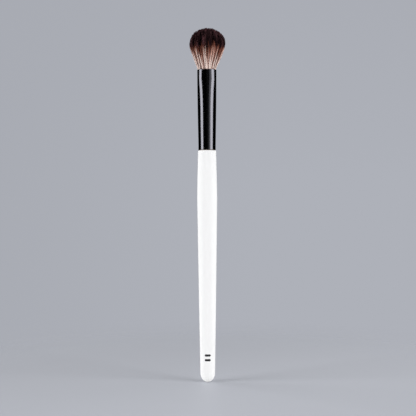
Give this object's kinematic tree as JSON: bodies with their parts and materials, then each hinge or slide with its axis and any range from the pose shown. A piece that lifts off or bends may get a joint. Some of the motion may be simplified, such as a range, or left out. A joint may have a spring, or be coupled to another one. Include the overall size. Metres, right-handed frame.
{
  "type": "makeup brush",
  "caption": "Round blending brush: tapered gloss handle with a domed butt, a thin pressed metal ferrule and a flared, dark-tipped head of soft hair.",
  "frame": {"origin": "centre of the small flat on the handle's butt, where the brush stands upright", "axes": "+Z along the brush from the butt to the hair tips, +X across the wide side of the oval mouth, +Y across its narrow side; the front, with the handle's mark, faces -Y"},
  "size_m": [0.0167, 0.0128, 0.165],
  "materials": {
    "lacquered_wood": "gloss",
    "black_ferrule": "gloss",
    "hair": "matte",
    "epoxy": "gloss",
    "thread": "matte",
    "glue": "satin"
  },
  "bodies": {
    "root": {"handle": "lacquered_wood", "ferrule": "black_ferrule", "hair_bundle": "hair", "root_plug": "epoxy", "binding_thread": "thread", "glue_ring_lower": "glue", "glue_ring_upper": "glue"}
  },
  "joints": []
}
